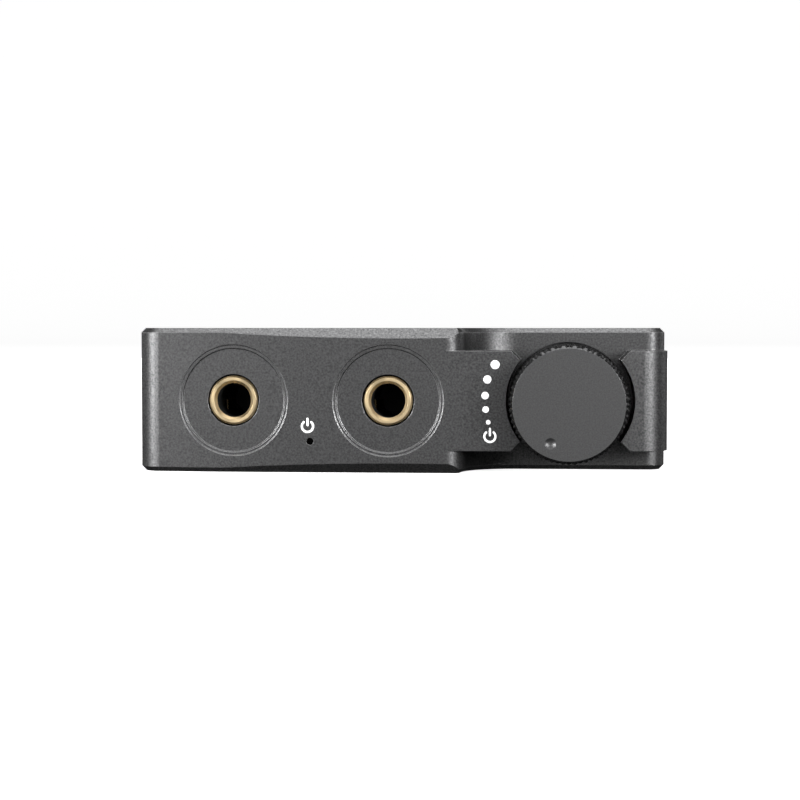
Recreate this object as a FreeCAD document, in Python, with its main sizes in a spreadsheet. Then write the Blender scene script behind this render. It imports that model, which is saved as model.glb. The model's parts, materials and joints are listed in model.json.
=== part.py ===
import FreeCAD, Part
import math
import operator
import os
import types

import Sketcher

# Pocket headphone amplifier. The X axis runs across the width, +Y from the front end to the rear
# end and +Z up. The origin is under the middle of the whole object, on its bottom face.

SIZES = {
    # housing
    "body_width": 57.0,
    "body_length": 105.0,
    "body_height": 15.5,
    "wall_thick": 1.5,
    "front_wall": 3.0,
    "front_bow": 300.0,
    "left_corner": 2.6,
    "right_corner": 2.8,
    "plate_corner": 2.0,
    "edge_chamfer": 0.5,
    "brow_chamfer": 1.1,
    "band_half": 5.32,
    "scoop_depth": 7.4,
    "scoop_start": 12.6,
    "scoop_curve": 5.72,
    "scoop_fillet": 2.0,
    "well_wall": 2.3,
    "rail_block": 4.4,
    "rail_depth": 1.3,
    "rail_gap": 0.15,
    "rail_groove": 0.7,
    "side_wall": 2.0,
    "jack_bay_right": 3.5,
    # how far a cutting shape runs past the face it cuts, and the gap left between close neighbours
    "cut_past": 1.0,
    "near_gap": 0.1,
    "body_gap": 0.3,
    # well, knob and potentiometer
    "well_across": 18.15,
    "well_radius": 6.83,
    "notch_inner": 5.37,
    "notch_outer": 6.28,
    "notch_height": 4.35,
    "knob_across": 17.95,
    "knob_drop": 0.2,
    "knob_stand": 4.8,
    "knob_radius": 6.25,
    "knob_face": 1.4,
    "knob_chamfer": 0.5,
    "knob_gap": 0.5,
    "pocket_play": 0.16,
    "pocket_depth": 1.0,
    "insert_radius": 4.6,
    "insert_fit": 0.02,
    "dimple_radius": 0.58,
    "dimple_ball": 0.95,
    "dimple_orbit": 4.41,
    "dimple_angle": 244.4,
    "shaft_radius": 2.0,
    "shaft_flat": 1.4,
    "shaft_sunk": 2.6,
    "shaft_play": 0.05,
    "bushing_radius": 3.0,
    "bushing_play": 0.2,
    "pot_width": 9.8,
    "pot_plate": 1.0,
    "pot_depth": 4.2,
    "pot_back": 1.0,
    "pot_chamber": 4.1,
    "pot_wafer": 0.6,
    "pot_switch_depth": 3.6,
    "rotor_radius": 3.6,
    "rotor_thick": 1.9,
    "wiper_thick": 0.3,
    "wiper_width": 1.2,
    "wiper_hub": 1.4,
    "pot_pin_pitch": 1.8,
    "pot_pin_width": 0.7,
    "pot_pin_length": 3.0,
    # jacks
    "line_in_across": -17.9,
    "headphone_across": -1.2,
    "recess_rim": 6.0,
    "recess_ledge": 0.11,
    "recess_floor": 5.5,
    "recess_depth": 0.24,
    "jack_hole": 2.8,
    "ring_sink": 0.3,
    "ring_radius": 2.62,
    "ring_chamfer": 0.2,
    "ring_mouth": 2.12,
    "ring_countersink": 0.35,
    "jack_bore": 1.83,
    "jack_tunnel": 2.1,
    "jack_back": 1.0,
    "jack_width": 6.2,
    "jack_length": 12.5,
    "jack_axis": 2.5,
    "leaf_thick": 0.2,
    "leaf_width": 1.1,
    "leaf_rest": 2.15,
    "leaf_reach": 1.4,
    "leaf_slope": 1.2,
    "leaf_flat": 0.4,
    "leaf_low": 0.8,
    "leaf_slot_play": 0.15,
    "sleeve_leaf_start": 0.5,
    "ring_leaf_start": 3.2,
    "tip_leaf_start": 6.6,
    "tab_length": 1.0,
    "tab_width": 1.2,
    "tab_front": 1.5,
    "tab_rear": 9.0,
    # lights
    "power_light_across": -9.56,
    "power_light_drop": 4.36,
    "light_radius": 0.35,
    "light_play": 0.03,
    "light_sink": 1.2,
    "lamp_width": 1.6,
    "lamp_depth": 0.8,
    "lamp_gap": 0.1,
    "foot_width": 1.4,
    "foot_height": 1.2,
    # rear end
    "panel_thick": 2.0,
    "screw_inset": 2.4,
    "screw_radius": 0.8,
    "screw_play": 0.05,
    "screw_length": 6.0,
    "screw_head": 1.5,
    "screw_sunk": 0.1,
    "socket_width": 1.3,
    "port_across": -6.0,
    "port_width": 8.94,
    "port_height": 3.26,
    "port_length": 7.4,
    "port_shell": 0.3,
    "port_play": 0.15,
    "port_sunk": 0.3,
    "port_back": 1.0,
    "tongue_width": 6.7,
    "tongue_thick": 0.7,
    "tongue_root": 1.6,
    "tongue_play": 0.05,
    "tongue_short": 1.0,
    "port_contact_pitch": 0.5,
    "port_contact_width": 0.25,
    "port_contact_length": 3.4,
    "port_contact_thick": 0.05,
    "charge_light_across": 3.0,
    "switch_across": 13.0,
    "switch_width": 8.6,
    "switch_depth": 3.6,
    "switch_height": 3.4,
    "switch_travel": 2.0,
    "switch_wall": 0.4,
    "switch_set_back": 0.4,
    "slider_width": 3.6,
    "slider_play": 0.2,
    "nib_width": 1.4,
    "nib_height": 1.3,
    "nib_stand": 1.0,
    "nib_play": 0.3,
    "switch_pin_pitch": 2.5,
    "switch_pin_width": 0.6,
    "switch_pin_length": 1.2,
    # board and its parts
    "board_thick": 1.0,
    "board_play": 0.2,
    "tongue_right": 3.3,
    "pot_clearance": 0.5,
    "lead_thick": 0.2,
    "chip_start": 19.0,
    "chip_middle": -13.0,
    "chip_pitch": 9.0,
    "chip_lift": 0.1,
    "chip_width": 3.9,
    "chip_length": 4.9,
    "chip_height": 1.5,
    "lead_pitch": 1.27,
    "lead_width": 0.4,
    "lead_length": 1.0,
    "can_row": 31.0,
    "can_pitch": 8.5,
    "can_radius": 3.15,
    "can_height": 5.8,
    "can_base": 1.2,
    "can_margin": 0.3,
    "ceramic_row": 44.0,
    "ceramic_pitch": 5.0,
    "ceramic_width": 1.25,
    "ceramic_length": 2.0,
    "ceramic_height": 1.2,
    "resistor_row": 50.0,
    "resistor_row_pitch": 6.0,
    "resistor_pitch": 4.5,
    "resistor_width": 0.8,
    "resistor_length": 1.6,
    "resistor_height": 0.45,
    "power_row": 20.0,
    "charger_across": -14.0,
    "charger_width": 4.0,
    "charger_height": 0.9,
    "inductor_across": -21.0,
    "inductor_width": 5.0,
    "inductor_height": 2.0,
    # battery
    "battery_start": 40.0,
    "battery_width": 44.0,
    "battery_length": 54.0,
    "battery_thick": 5.0,
    "battery_edge": 1.2,
    "pad_inset": 4.0,
    "pad_thick": 0.4,
    "sheet_thick": 0.2,
    "guard_width": 30.0,
    "guard_thick": 0.8,
    "guard_height": 3.0,
    "guard_lift": 1.0,
    "strap_across": 12.0,
    "strap_width": 3.0,
    "strap_thick": 0.2,
    "strap_foot": 1.4,
    "strap_overlap": 1.5,
}

AXES = {
    "X": FreeCAD.Vector(1, 0, 0),
    "Y": FreeCAD.Vector(0, 1, 0),
    "Z": FreeCAD.Vector(0, 0, 1),
}


class Size:
    """A length together with the sheet expression that gives it."""

    def __init__(self, value, text):
        self.value = value
        self.text = text

    def __add__(self, other):
        return joined(self, "+", other)

    def __radd__(self, other):
        return joined(other, "+", self)

    def __sub__(self, other):
        return joined(self, "-", other)

    def __rsub__(self, other):
        return joined(other, "-", self)

    def __mul__(self, other):
        return joined(self, "*", other)

    def __rmul__(self, other):
        return joined(other, "*", self)

    def __truediv__(self, other):
        return joined(self, "/", other)

    def __neg__(self):
        return joined(0, "-", self)


OPERATIONS = {"+": operator.add, "-": operator.sub, "*": operator.mul, "/": operator.truediv}


def as_size(item):
    if isinstance(item, Size):
        return item
    return Size(float(item), f"{float(item):.6f}")


def joined(left, sign, right):
    left = as_size(left)
    right = as_size(right)
    return Size(OPERATIONS[sign](left.value, right.value), f"({left.text} {sign} {right.text})")


def root(size):
    return Size(math.sqrt(size.value), f"sqrt({size.text})")


def sine(angle):
    return Size(math.sin(math.radians(angle.value)), f"sin({angle.text} * 1deg)")


def cosine(angle):
    return Size(math.cos(math.radians(angle.value)), f"cos({angle.text} * 1deg)")


def driving_sizes(doc):
    """Write the driving dimensions to the sheet and give them back by name."""
    sheet = doc.addObject("Spreadsheet::Sheet", "Sizes")
    found = types.SimpleNamespace()
    for row, (name, value) in enumerate(SIZES.items(), start=1):
        sheet.set(f"A{row}", name)
        sheet.set(f"B{row}", str(value))
        sheet.setAlias(f"B{row}", name)
        setattr(found, name, Size(value, f"Sizes.{name}"))
    return found


doc = FreeCAD.newDocument("headphone_amplifier")
S = driving_sizes(doc)
doc.recompute()

# Planes and heights that several sub-parts share.
HALF_WIDTH = S.body_width / 2
FRONT = S.knob_stand - (S.knob_stand + S.body_length + S.nib_stand) / 2
REAR = FRONT + S.body_length
PANEL_FRONT = REAR - S.panel_thick
MIDDLE = S.body_height / 2
CEILING = S.body_height - S.wall_thick
WELL_FLOOR = FRONT + S.scoop_depth
CAVITY_FRONT = WELL_FLOOR + S.well_wall
BOARD_TOP = MIDDLE - S.jack_axis
BOARD_BOTTOM = BOARD_TOP - S.board_thick
BOARD_REAR = PANEL_FRONT - S.board_play
RAIL_HALF = HALF_WIDTH - S.rail_block
KNOB_HEIGHT = MIDDLE - S.knob_drop
POT_FRONT = CAVITY_FRONT + S.near_gap
POT_CASE = POT_FRONT + S.pot_plate
POT_SWITCH = POT_CASE + S.pot_depth
SHAFT_TIP = FRONT - S.shaft_sunk
JACK_FRONT = FRONT + S.front_wall + S.near_gap

# Helpers: each makes one document object whose sizes are bound to the sheet.


def bind(target, path, size):
    target.setExpression(path, as_size(size).text)


def place(target, at):
    for letter, size in zip("xyz", at):
        bind(target, f"Placement.Base.{letter}", size)
    return target


def block(name, at, size):
    """A box from its lowest corner."""
    box = doc.addObject("Part::Box", name)
    for side, length in zip(("Length", "Width", "Height"), size):
        bind(box, side, length)
    return place(box, at)


def centred_block(name, across, start, low, size):
    """A box centred on across in X, from start in Y and from low in Z."""
    return block(name, (across - size[0] / 2, start, low), size)


def turned(target, axis):
    target.Placement = FreeCAD.Placement(FreeCAD.Vector(), FreeCAD.Rotation(AXES["Z"], AXES[axis]))


def rod(name, at, radius, length, axis="Y"):
    """A cylinder that starts at a point and runs along an axis."""
    cylinder = doc.addObject("Part::Cylinder", name)
    bind(cylinder, "Radius", radius)
    bind(cylinder, "Height", length)
    turned(cylinder, axis)
    return place(cylinder, at)


def cone(name, at, first_radius, last_radius, length, axis="Y"):
    """A cone that starts at a point and runs along an axis."""
    taper = doc.addObject("Part::Cone", name)
    bind(taper, "Radius1", first_radius)
    bind(taper, "Radius2", last_radius)
    bind(taper, "Height", length)
    turned(taper, axis)
    return place(taper, at)


def fuse(name, *pieces):
    union = doc.addObject("Part::MultiFuse", name)
    union.Shapes = list(pieces)
    union.Refine = True
    return union


def cut(name, base, *tools):
    difference = doc.addObject("Part::Cut", name)
    difference.Base = base
    difference.Tool = tools[0] if len(tools) == 1 else fuse(f"{name}_tools", *tools)
    return difference


def common(name, first, second):
    overlap = doc.addObject("Part::Common", name)
    overlap.Base = first
    overlap.Tool = second
    return overlap


def group(name, pieces):
    """Separate solids that share one node."""
    compound = doc.addObject("Part::Compound", name)
    compound.Links = list(pieces)
    return compound


def stadium(name, across, start, middle, width, height, length):
    """A bar along Y whose section is a rectangle with half-round ends."""
    radius = height / 2
    flat = centred_block(f"{name}_flat", across, start, middle - radius, (width - height, length, height))
    left = rod(f"{name}_left", (across - width / 2 + radius, start, middle), radius, length)
    right = rod(f"{name}_right", (across + width / 2 - radius, start, middle), radius, length)
    return fuse(name, flat, left, right)


def new_sketch(body, name, plane, offset=0):
    """A sketch on one of the body's own origin planes, moved along the plane's normal."""
    sketch = body.newObject("Sketcher::SketchObject", name)
    origin = next(item for item in body.Origin.OriginFeatures if item.Role == plane)
    sketch.AttachmentSupport = [(origin, "")]
    sketch.MapMode = "FlatFace"
    bind(sketch, "AttachmentOffset.Base.z", offset)
    return sketch


def hold(sketch, kind, *where):
    """Add a constraint whose last argument is a size, and bind it to the sheet."""
    *places, size = where
    size = as_size(size)
    index = sketch.addConstraint(Sketcher.Constraint(kind, *places, size.value))
    name = f"size{index}"
    sketch.renameConstraint(index, name)
    bind(sketch, f"Constraints.{name}", size)


def hold_point(sketch, edge, end, x, y):
    hold(sketch, "DistanceX", -1, 1, edge, end, x)
    hold(sketch, "DistanceY", -1, 1, edge, end, y)


def point(x, y):
    return FreeCAD.Vector(as_size(x).value, as_size(y).value, 0)


def line(start, end):
    return Part.LineSegment(point(*start), point(*end))


def arc(centre, radius, first, last):
    """An arc run counter-clockwise between two angles in degrees."""
    circle = Part.Circle(point(*centre), AXES["Z"], as_size(radius).value)
    return Part.ArcOfCircle(circle, math.radians(first), math.radians(last))


def polygon(sketch, corners):
    """A closed outline of straight edges, every corner held from the origin."""
    count = len(corners)
    for index in range(count):
        sketch.addGeometry(line(corners[index], corners[(index + 1) % count]))
    for index, (x, y) in enumerate(corners):
        before = (index - 1) % count
        sketch.addConstraint(Sketcher.Constraint("Coincident", before, 2, index, 1))
        hold_point(sketch, index, 1, x, y)


def new_body(name):
    return doc.addObject("PartDesign::Body", name)


def pad(body, sketch, length, midplane=False):
    feature = body.newObject("PartDesign::Pad", f"{sketch.Name}_pad")
    feature.Profile = sketch
    feature.Midplane = midplane
    bind(feature, "Length", length)
    body.Tip = feature
    return feature


def plate(name, plane, corners, offset, length, midplane=False):
    """A padded polygon on an origin plane."""
    body = new_body(name)
    sketch = new_sketch(body, f"{name}_outline", plane, offset)
    polygon(sketch, corners)
    pad(body, sketch, length, midplane)
    return body


def dress(body, kind, names, size):
    """A PartDesign fillet or chamfer on named faces or edges of the body's tip."""
    base = body.Tip
    feature = body.newObject(f"PartDesign::{kind}", f"{body.Name}_{kind.lower()}")
    feature.Base = (base, names)
    bind(feature, "Radius" if kind == "Fillet" else "Size", size)
    body.Tip = feature
    return feature


def faces_towards(body, *directions):
    """Names of the tip's flat faces whose outward normal is one of the directions."""
    doc.recompute()
    names = []
    for index, face in enumerate(body.Tip.Shape.Faces, start=1):
        if any((face.normalAt(0, 0) - way).Length < 1e-6 for way in directions):
            names.append(f"Face{index}")
    return names


def edges_along(body, axis):
    """Names of the tip's straight edges that run along an axis."""
    doc.recompute()
    names = []
    for index, edge in enumerate(body.Tip.Shape.Edges, start=1):
        if isinstance(edge.Curve, Part.Line) and edge.Curve.Direction.cross(AXES[axis]).Length < 1e-6:
            names.append(f"Edge{index}")
    return names


NODES = []


def node(name, shape):
    """Name a finished sub-part; the label is also its file's name."""
    shape.Label = name
    NODES.append((name, shape))
    return shape


# Housing: one machined piece. Top and bottom are cut back in front of the knob, while a band at
# mid height runs on to the full front face and holds the knob's well.


def bow_drop(across):
    """How far the bowed front face lies behind its foremost line."""
    return S.front_bow - root(S.front_bow * S.front_bow - across * across)


def corner_centre(side, radius):
    """Centre of a front corner that touches both the side and the bowed front face."""
    across = HALF_WIDTH - radius
    reach = S.front_bow - radius
    return side * across, FRONT + S.front_bow - root(reach * reach - across * across)


def tangent_chain(sketch, joints):
    for first, first_end, second, second_end in joints:
        sketch.addConstraint(Sketcher.Constraint("Tangent", first, first_end, second, second_end))


def front_face(sketch, left, front):
    """Hold the left corner and the bowed front face, which both plan outlines share."""
    hold(sketch, "Radius", left, S.left_corner)
    hold(sketch, "Radius", front, S.front_bow)
    hold_point(sketch, front, 3, 0, FRONT + S.front_bow)


def band_outline(sketch):
    """Plan of the band: front face at full depth from side to side."""
    left, front, right, right_side, back, left_side = range(6)
    left_centre = corner_centre(-1, S.left_corner)
    right_centre = corner_centre(1, S.right_corner)
    sketch.addGeometry([
        arc(left_centre, S.left_corner, 180, 265),
        arc((0, FRONT + S.front_bow), S.front_bow, 265.5, 274.5),
        arc(right_centre, S.right_corner, 275, 360),
        line((HALF_WIDTH, right_centre[1]), (HALF_WIDTH, PANEL_FRONT)),
        line((HALF_WIDTH, PANEL_FRONT), (-HALF_WIDTH, PANEL_FRONT)),
        line((-HALF_WIDTH, PANEL_FRONT), (-HALF_WIDTH, left_centre[1])),
    ])
    tangent_chain(sketch, [
        (left_side, 2, left, 1),
        (left, 2, front, 1),
        (front, 2, right, 1),
        (right, 2, right_side, 1),
    ])
    front_face(sketch, left, front)
    hold(sketch, "Radius", right, S.right_corner)
    sketch.addConstraint(Sketcher.Constraint("Coincident", right_side, 2, back, 1))
    sketch.addConstraint(Sketcher.Constraint("Coincident", back, 2, left_side, 1))
    hold_point(sketch, back, 1, HALF_WIDTH, PANEL_FRONT)
    hold_point(sketch, back, 2, -HALF_WIDTH, PANEL_FRONT)
    sketch.addConstraint(Sketcher.Constraint("Vertical", right_side))
    sketch.addConstraint(Sketcher.Constraint("Vertical", left_side))


def plate_outline(sketch):
    """Plan of the top and bottom plates: an S-curve leads back to the finger scoop."""
    left, front, fillet, curve, shelf, right, right_side, back, left_side = range(9)
    left_centre = corner_centre(-1, S.left_corner)
    curve_centre = (S.scoop_start, WELL_FLOOR - S.scoop_curve)
    rise = FRONT + S.scoop_fillet - curve_centre[1]
    reach = S.scoop_curve + S.scoop_fillet
    fillet_centre = (S.scoop_start - root(reach * reach - rise * rise), FRONT + S.scoop_fillet)
    lean = math.degrees(math.asin(rise.value / reach.value))
    right_centre = (HALF_WIDTH - S.plate_corner, WELL_FLOOR + S.plate_corner)
    past_rear = REAR + S.panel_thick
    sketch.addGeometry([
        arc(left_centre, S.left_corner, 180, 265),
        arc((0, FRONT + S.front_bow), S.front_bow, 265.5, 270.8),
        arc(fillet_centre, S.scoop_fillet, 271, 360 - lean),
        arc(curve_centre, S.scoop_curve, 90, 180 - lean),
        line((S.scoop_start, WELL_FLOOR), (right_centre[0], WELL_FLOOR)),
        arc(right_centre, S.plate_corner, 270, 360),
        line((HALF_WIDTH, right_centre[1]), (HALF_WIDTH, past_rear)),
        line((HALF_WIDTH, past_rear), (-HALF_WIDTH, past_rear)),
        line((-HALF_WIDTH, past_rear), (-HALF_WIDTH, left_centre[1])),
    ])
    tangent_chain(sketch, [
        (left_side, 2, left, 1),
        (left, 2, front, 1),
        (front, 2, fillet, 1),
        (fillet, 2, curve, 2),
        (curve, 1, shelf, 1),
        (shelf, 2, right, 1),
        (right, 2, right_side, 1),
    ])
    front_face(sketch, left, front)
    hold(sketch, "Radius", fillet, S.scoop_fillet)
    hold(sketch, "Radius", curve, S.scoop_curve)
    hold(sketch, "Radius", right, S.plate_corner)
    hold_point(sketch, shelf, 1, S.scoop_start, WELL_FLOOR)
    sketch.addConstraint(Sketcher.Constraint("Horizontal", shelf))
    sketch.addConstraint(Sketcher.Constraint("Coincident", right_side, 2, back, 1))
    sketch.addConstraint(Sketcher.Constraint("Coincident", back, 2, left_side, 1))
    hold_point(sketch, back, 1, HALF_WIDTH, past_rear)
    hold_point(sketch, back, 2, -HALF_WIDTH, past_rear)
    sketch.addConstraint(Sketcher.Constraint("Vertical", right_side))
    sketch.addConstraint(Sketcher.Constraint("Vertical", left_side))


def padded_outline(name, draw, low, height):
    body = new_body(name)
    sketch = new_sketch(body, f"{name}_outline", "XY_Plane", low)
    draw(sketch)
    pad(body, sketch, height)
    return body


def housing_outside():
    plates = padded_outline("plates", plate_outline, 0, S.body_height)
    dress(plates, "Chamfer", faces_towards(plates, AXES["Z"], -AXES["Z"]), S.edge_chamfer)
    band = padded_outline("band", band_outline, MIDDLE - S.band_half, 2 * S.band_half)
    # The brow slab's straight front edge meets the bow, so its chamfer fades towards the sides.
    brow = S.brow_chamfer
    slab = plate("brow_slab", "YZ_Plane", [
        (FRONT + brow, 0),
        (PANEL_FRONT, 0),
        (PANEL_FRONT, S.body_height),
        (FRONT + brow, S.body_height),
        (FRONT, S.body_height - brow),
        (FRONT, brow),
    ], 0, S.body_width + 2 * S.cut_past, midplane=True)
    return fuse("outside", common("browed_plates", plates, slab), band)


def housing_cavity():
    """Inside of the housing: card rails along both sides, and a forward bay for the jacks."""
    wall = HALF_WIDTH - S.side_wall
    groove = wall + S.rail_groove
    low = BOARD_BOTTOM - S.rail_gap
    high = low + S.rail_depth
    right = [
        (RAIL_HALF, S.wall_thick),
        (RAIL_HALF, low),
        (groove, low),
        (groove, high),
        (wall, high),
        (wall, S.body_height - low),
        (RAIL_HALF, S.body_height - low),
        (RAIL_HALF, CEILING),
    ]
    left = [(-across, height) for across, height in reversed(right)]
    end = PANEL_FRONT + S.cut_past
    bay = plate("rail_bay", "XZ_Plane", right + left, -end, end - CAVITY_FRONT)
    jack_bay = block(
        "jack_bay",
        (-RAIL_HALF, FRONT + S.front_wall, S.wall_thick),
        (RAIL_HALF + S.jack_bay_right, S.scoop_depth, CEILING - S.wall_thick),
    )
    return [bay, jack_bay]


def knob_well():
    """Round well for the knob, with its four thin points nipped off at 45 degrees.

    A closer pocket in the well's floor takes the knob's rear end.
    """
    start = FRONT - S.cut_past
    depth = S.scoop_depth + S.cut_past
    well = rod("well", (S.well_across, start, MIDDLE), S.well_radius, depth)
    # The notch's slanting ends are carried on past the band's edge in the same line.
    lean = (S.notch_outer - S.notch_inner) / (S.band_half - S.notch_height)
    reach = S.band_half + S.near_gap
    spread = S.notch_outer + S.near_gap * lean
    notches = []
    for name, side in (("upper_notch", 1), ("lower_notch", -1)):
        inner = MIDDLE + side * S.notch_height
        outer = MIDDLE + side * reach
        notches.append(plate(name, "XZ_Plane", [
            (S.well_across - S.notch_inner, inner),
            (S.well_across + S.notch_inner, inner),
            (S.well_across + spread, outer),
            (S.well_across - spread, outer),
        ], -WELL_FLOOR, depth))
    pocket = rod(
        "knob_pocket",
        (S.knob_across, WELL_FLOOR - S.cut_past, KNOB_HEIGHT),
        S.knob_radius + S.pocket_play,
        S.pocket_depth + S.cut_past,
    )
    return [well, pocket, *notches]


def recess_step(name, across, radius, depth):
    """A 45 degree cut into the bowed face, square to it; radius is at the cut's floor."""
    past = S.cut_past
    step = cone(name, (0, 0, 0), radius + depth + past, radius, depth + past)
    tilt = math.degrees(math.asin(across.value / S.front_bow.value))
    inward = FreeCAD.Rotation(AXES["Z"], tilt).multVec(AXES["Y"])
    step.Placement.Rotation = FreeCAD.Rotation(AXES["Z"], inward)
    return place(step, (across + past * across / S.front_bow, FRONT + bow_drop(across) - past, MIDDLE))


def jack_recess(name, across):
    """Shallow dish with a narrow ledge round its floor, and a hole for the jack's ring."""
    ledge = recess_step(f"{name}_ledge", across, S.recess_rim - S.recess_ledge, S.recess_ledge)
    dish = recess_step(f"{name}_dish", across, S.recess_floor, S.recess_depth)
    hole = rod(
        f"{name}_hole",
        (across, FRONT - S.cut_past, MIDDLE),
        S.jack_hole,
        S.front_wall + 2 * S.cut_past,
    )
    return [ledge, dish, hole]


def screw_places():
    """Names, side positions and heights of the rear panel's four screws."""
    places = []
    for side_name, side in (("left", -1), ("right", 1)):
        across = side * (HALF_WIDTH - S.screw_inset)
        for height_name, height in (("low", S.screw_inset), ("high", S.body_height - S.screw_inset)):
            places.append((f"{height_name}_{side_name}", across, height))
    return places


def housing():
    tools = housing_cavity() + knob_well()
    tools += jack_recess("line_in", S.line_in_across)
    tools += jack_recess("headphone", S.headphone_across)
    light_height = MIDDLE - S.power_light_drop
    tools.append(rod(
        "power_light_hole",
        (S.power_light_across, FRONT - S.cut_past, light_height),
        S.light_radius + S.light_play,
        S.front_wall + 2 * S.cut_past,
    ))
    tools.append(rod(
        "bushing_hole",
        (S.knob_across, WELL_FLOOR - S.cut_past, KNOB_HEIGHT),
        S.bushing_radius + S.bushing_play,
        S.well_wall + 2 * S.cut_past,
    ))
    for name, across, height in screw_places():
        depth = S.screw_length + S.cut_past
        start = PANEL_FRONT - S.screw_length
        tools.append(rod(f"{name}_thread", (across, start, height), S.screw_radius, depth))
    node("housing", cut("housing", housing_outside(), *tools))


# Rear end: a flat panel held by four flush screws, with the charging port, the charge light and
# the gain switch behind it.


def switch_centre():
    return S.switch_across - S.switch_travel / 2, BOARD_TOP + S.switch_height / 2


def rear_panel():
    edge = S.edge_chamfer
    body = plate("panel_plate", "XZ_Plane", [
        (edge - HALF_WIDTH, 0),
        (HALF_WIDTH - edge, 0),
        (HALF_WIDTH, edge),
        (HALF_WIDTH, S.body_height - edge),
        (HALF_WIDTH - edge, S.body_height),
        (edge - HALF_WIDTH, S.body_height),
        (-HALF_WIDTH, S.body_height - edge),
        (-HALF_WIDTH, edge),
    ], -REAR, S.panel_thick)
    dress(body, "Chamfer", faces_towards(body, AXES["Y"]), edge)
    through = S.panel_thick + 2 * S.cut_past
    start = PANEL_FRONT - S.cut_past
    port_middle = BOARD_TOP + S.port_height / 2
    play = 2 * S.port_play
    tools = [stadium(
        "port_opening",
        S.port_across,
        start,
        port_middle,
        S.port_width + play,
        S.port_height + play,
        through,
    )]
    tools.append(rod(
        "charge_light_hole",
        (S.charge_light_across, start, port_middle),
        S.light_radius + S.light_play,
        through,
    ))
    nib_across, nib_middle = switch_centre()
    slot_width = S.nib_width + S.switch_travel + 2 * S.nib_play
    slot_height = S.nib_height + 2 * S.nib_play
    tools.append(block(
        "nib_slot",
        (nib_across - S.nib_width / 2 - S.nib_play, start, nib_middle - slot_height / 2),
        (slot_width, through, slot_height),
    ))
    for name, across, height in screw_places():
        sink = S.screw_head - S.screw_radius
        clearance = S.screw_radius + S.screw_play
        tools.append(rod(f"{name}_clearance", (across, start, height), clearance, through))
        tools.append(cone(
            f"{name}_countersink", (across, REAR - sink, height), S.screw_radius, S.screw_head, sink,
        ))
    node("rear_panel", cut("rear_panel", body, *tools))


def rear_panel_screws():
    """Countersunk socket screws whose heads lie just under the panel's face."""
    screws = []
    sunk = S.screw_sunk
    thread = S.screw_radius - S.screw_play
    for name, across, height in screw_places():
        head_depth = S.screw_head - sunk - thread
        tip = REAR - sunk - S.screw_length
        shank = rod(f"{name}_shank", (across, tip, height), thread, S.screw_length - head_depth)
        head = cone(
            f"{name}_head",
            (across, REAR - sunk - head_depth, height),
            thread,
            S.screw_head - sunk,
            head_depth,
        )
        socket = doc.addObject("Part::Prism", f"{name}_socket")
        socket.Polygon = 6
        bind(socket, "Circumradius", S.socket_width / 2)
        bind(socket, "Height", head_depth + S.cut_past)
        turned(socket, "Y")
        place(socket, (across, REAR - sunk - head_depth, height))
        screws.append(cut(f"{name}_screw", fuse(f"{name}_blank", shank, head), socket))
    node("rear_panel_screws", group("rear_panel_screws", screws))


def charging_port():
    """Drawn metal shell with a closed back, and a moulded tongue with contacts on both faces."""
    middle = BOARD_TOP + S.port_height / 2
    start = REAR - S.port_sunk - S.port_length
    floor = start + S.port_back
    wall = S.port_shell
    outer = stadium("port_outer", S.port_across, start, middle, S.port_width, S.port_height, S.port_length)
    inner_width = S.port_width - 2 * wall
    inner_height = S.port_height - 2 * wall
    inner = stadium("port_inner", S.port_across, floor, middle, inner_width, inner_height, S.port_length)
    node("charging_port_shell", cut("charging_port_shell", outer, inner))
    play = 2 * S.tongue_play
    base = stadium(
        "tongue_base", S.port_across, floor, middle, inner_width - play, inner_height - play, S.tongue_root,
    )
    tongue = centred_block(
        "tongue_blade",
        S.port_across,
        floor,
        middle - S.tongue_thick / 2,
        (S.tongue_width, S.port_length - S.port_back - S.tongue_short, S.tongue_thick),
    )
    node("charging_port_tongue", fuse("charging_port_tongue", base, tongue))
    size = (S.port_contact_width, S.port_contact_length, S.port_contact_thick)
    sides = (
        ("upper", middle + S.tongue_thick / 2),
        ("lower", middle - S.tongue_thick / 2 - S.port_contact_thick),
    )
    contacts = []
    count = 12
    for index in range(count):
        across = S.port_across + (index - (count - 1) / 2) * S.port_contact_pitch
        for side, low in sides:
            contacts.append(centred_block(
                f"port_contact_{side}_{index}", across, floor + S.tongue_root, low, size,
            ))
    node("charging_port_contacts", group("charging_port_contacts", contacts))


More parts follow.
